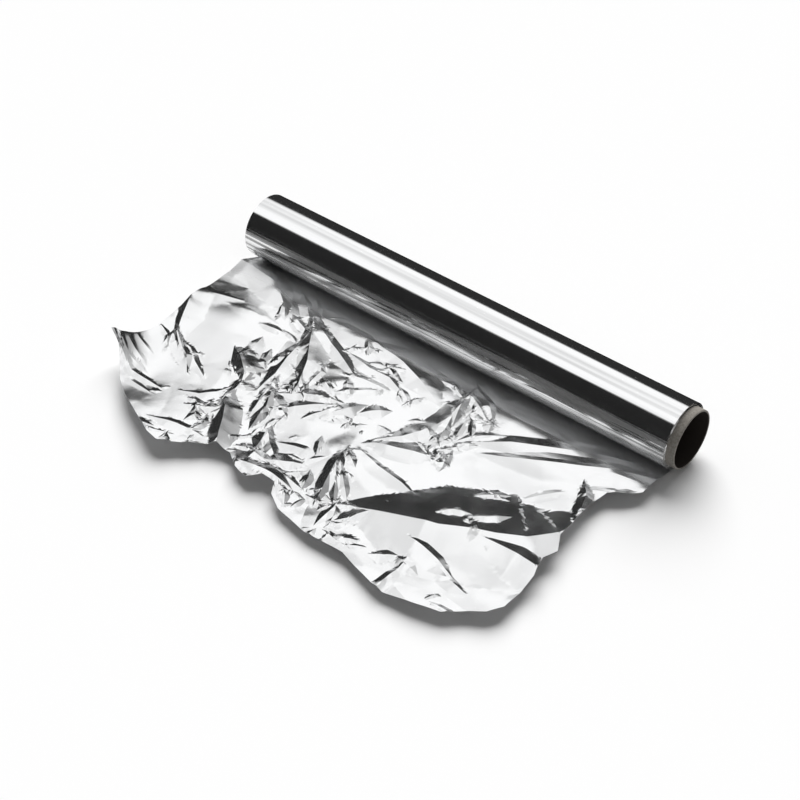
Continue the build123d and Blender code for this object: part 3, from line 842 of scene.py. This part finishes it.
# The wound foil
def make_wound_foil():
    """The wound part: its outside with shallow dents, its ends with turns a little out of line, its bore."""
    scatter = random.Random(3)
    angles = np.linspace(0, 2 * math.pi, ROLL_AROUND, endpoint=False)
    xs = np.linspace(-HALF_WIDTH, HALF_WIDTH, ROLL_ALONG + 1)
    angle, x = np.meshgrid(angles, xs)
    radius = np.full(angle.shape, WOUND_RADIUS)
    for _ in range(DENT_COUNT):
        centre_x, centre_angle = scatter.uniform(-0.15, 0.15), scatter.uniform(0, 2 * math.pi)
        length, width = scatter.uniform(0.02, 0.08), scatter.uniform(0.1, 0.3)
        turned = (angle - centre_angle + math.pi) % (2 * math.pi) - math.pi
        depth = scatter.uniform(-DENT_DEPTH, DENT_DEPTH) * MM
        radius += depth * np.exp(-((x - centre_x) / length) ** 2 - (turned / width) ** 2)
    outer = np.stack([x, radius * np.sin(angle), radius * np.cos(angle)], -1).reshape(-1, 3)
    places = [outer]
    faces = []
    for row in range(ROLL_ALONG):
        here, there = row * ROLL_AROUND, (row + 1) * ROLL_AROUND
        for k in range(ROLL_AROUND):
            after = (k + 1) % ROLL_AROUND
            faces.append((here + k, here + after, there + after, there + k))
    start = len(outer)
    for end, sign in ((0, -1), (ROLL_ALONG, 1)):
        previous = [end * ROLL_AROUND + k for k in range(ROLL_AROUND)]
        for ring in range(1, END_RINGS + 1):
            share = ring / END_RINGS
            ring_radius = WOUND_RADIUS * (1 - share) + WOUND_BORE * share
            inset = scatter.uniform(0, END_INSET) * MM
            ring_x = xs[end] - sign * inset
            places.append(np.stack([np.full(ROLL_AROUND, ring_x), ring_radius * np.sin(angles),
                                    ring_radius * np.cos(angles)], 1))
            current = [start + k for k in range(ROLL_AROUND)]
            start += ROLL_AROUND
            for k in range(ROLL_AROUND):
                after = (k + 1) % ROLL_AROUND
                quad = (previous[k], previous[after], current[after], current[k])
                faces.append(quad[::-1] if sign < 0 else quad)
            previous = current
        if sign < 0:
            far_inner = previous
    for k in range(ROLL_AROUND):
        after = (k + 1) % ROLL_AROUND
        faces.append((far_inner[k], far_inner[after], previous[after], previous[k])[::-1])
    material = add_painted_reflection_streaks(foil_material("roll_foil", *ROLL_ROUGHNESS, wrinkle_height=0.0))
    faces = [face[::-1] for face in faces]
    make_foil_piece("wound_foil", np.concatenate(places), faces, ROLL_CREASE_ANGLE, material)


# The cardboard core
def make_core():
    """The core keeps its solid, with a board material on it."""
    core = frame["nodes"]["core_tube"]
    core.data.materials.clear()
    core.data.materials.append(board_material())


# Floor and light
def make_floor():
    """A white floor. The foil mirrors only the part of it that lies close around the sheet."""
    corners = [(x, y, TABLE - FLOOR_GAP) for x, y in MIRRORED_FLOOR + WHOLE_FLOOR]
    material, _, shader = new_material("floor_white")
    shader.inputs["Base Color"].default_value = (0.98, 0.98, 0.98, 1)
    shader.inputs["Roughness"].default_value = 1.0
    shader.inputs["Specular IOR Level"].default_value = 0.0
    quads_around = [(k, k + 4, (k + 1) % 4 + 4, (k + 1) % 4) for k in range(4)]
    for name, quads in (("floor", [(0, 1, 2, 3)]), ("floor_around", quads_around)):
        mesh = bpy.data.meshes.new(name)
        mesh.from_pydata(corners, [], quads)
        floor = bpy.data.objects.new(name, mesh)
        bpy.context.scene.collection.objects.link(floor)
        floor.data.materials.append(material)
        floor.visible_glossy = name == "floor"


def smooth_step(tree, value, dark_at, bright_at, darkest=0.0):
    """A value that rises softly from the darkest one to 1, between two values of the one given."""
    ends = {"From Min": dark_at, "From Max": bright_at, "To Min": darkest}
    node = add_node(tree, "ShaderNodeMapRange", ends, interpolation_type="SMOOTHSTEP")
    tree.links.new(value, node.inputs["Value"])
    return node.outputs[0]


def sum_of_parts(tree, direction, weights):
    """The parts of a direction, each times its weight, added up."""
    node = add_node(tree, "ShaderNodeVectorMath", {1: weights}, operation="DOT_PRODUCT")
    tree.links.new(direction, node.inputs[0])
    return node.outputs["Value"]


def product(tree, first, second):
    """Two values multiplied."""
    node = add_node(tree, "ShaderNodeMath", operation="MULTIPLY")
    tree.links.new(first, node.inputs[0])
    tree.links.new(second, node.inputs[1])
    return node.outputs[0]


def make_light():
    """A white studio: even light for the floor and the board. For the foil there is one large soft box
    overhead, and a lower one at the front right, which only shows in the foil from behind."""
    world = bpy.data.worlds.new("studio")
    bpy.context.scene.world = world
    world.use_nodes = True
    tree = world.node_tree
    link = tree.links.new
    tree.nodes.clear()
    output = tree.nodes.new("ShaderNodeOutputWorld")
    sky = add_node(tree, "ShaderNodeBackground", {"Color": (1, 1, 1, 1)})
    direction = add_node(tree, "ShaderNodeTexCoord").outputs["Generated"]
    over_rim = smooth_step(tree, sum_of_parts(tree, direction, UP), *BOX_RIM)
    behind_front = smooth_step(tree, sum_of_parts(tree, direction, BACK), *BOX_FRONT)
    not_right = smooth_step(tree, sum_of_parts(tree, direction, RIGHT), *BOX_RIGHT_END)
    not_left = smooth_step(tree, sum_of_parts(tree, direction, RIGHT), *BOX_LEFT_END)
    box = product(tree, product(tree, over_rim, behind_front), product(tree, not_right, not_left))
    unevenness = add_node(tree, "ShaderNodeTexNoise", {"Scale": 3.2, "Detail": 2})
    link(direction, unevenness.inputs["Vector"])
    box = product(tree, box, smooth_step(tree, unevenness.outputs["Fac"], *BOX_UNEVENNESS))
    to_front_right = smooth_step(tree, sum_of_parts(tree, direction, FRONT_RIGHT), *LOW_BOX_SIDE)
    over_floor = smooth_step(tree, sum_of_parts(tree, direction, UP), *LOW_BOX_RIM)
    low_box = product(tree, product(tree, to_front_right, over_floor),
                      smooth_step(tree, unevenness.outputs["Fac"], *LOW_BOX_UNEVENNESS))
    dimmed = add_node(tree, "ShaderNodeMath", {1: LOW_BOX_STRENGTH}, operation="MULTIPLY")
    link(low_box, dimmed.inputs[0])
    boxes = add_node(tree, "ShaderNodeMath", operation="MAXIMUM")
    link(box, boxes.inputs[0])
    link(dimmed.outputs[0], boxes.inputs[1])
    mirrored = add_node(tree, "ShaderNodeMapRange", {"To Min": MIRRORED_STRENGTH[0],
                                                     "To Max": MIRRORED_STRENGTH[1]})
    link(boxes.outputs[0], mirrored.inputs["Value"])
    path = add_node(tree, "ShaderNodeLightPath")
    seen = add_node(tree, "ShaderNodeMapRange", {"To Min": PLAIN_STRENGTH[0], "To Max": PLAIN_STRENGTH[1]})
    link(path.outputs["Is Camera Ray"], seen.inputs["Value"])
    strength = add_node(tree, "ShaderNodeMix", data_type="FLOAT")
    link(path.outputs["Is Glossy Ray"], strength.inputs[0])
    link(seen.outputs[0], strength.inputs[2])
    link(mirrored.outputs[0], strength.inputs[3])
    link(strength.outputs[0], sky.inputs["Strength"])
    link(sky.outputs[0], output.inputs[0])
    lamp = bpy.data.objects.new("softbox", bpy.data.lights.new("softbox", "SUN"))
    bpy.context.scene.collection.objects.link(lamp)
    lamp.data.angle = math.radians(LAMP_WIDTH)
    lamp.data.energy = LAMP_ENERGY
    lamp.rotation_mode = "QUATERNION"
    lamp.rotation_quaternion = (-Vector(LAMP_FROM)).to_track_quat("-Z", "Y")
    lamp.visible_glossy = False


make_camera()
make_core()
make_wound_foil()
make_loose_sheet()
make_floor()
make_light()
bpy.context.scene.view_settings.view_transform = "Standard"
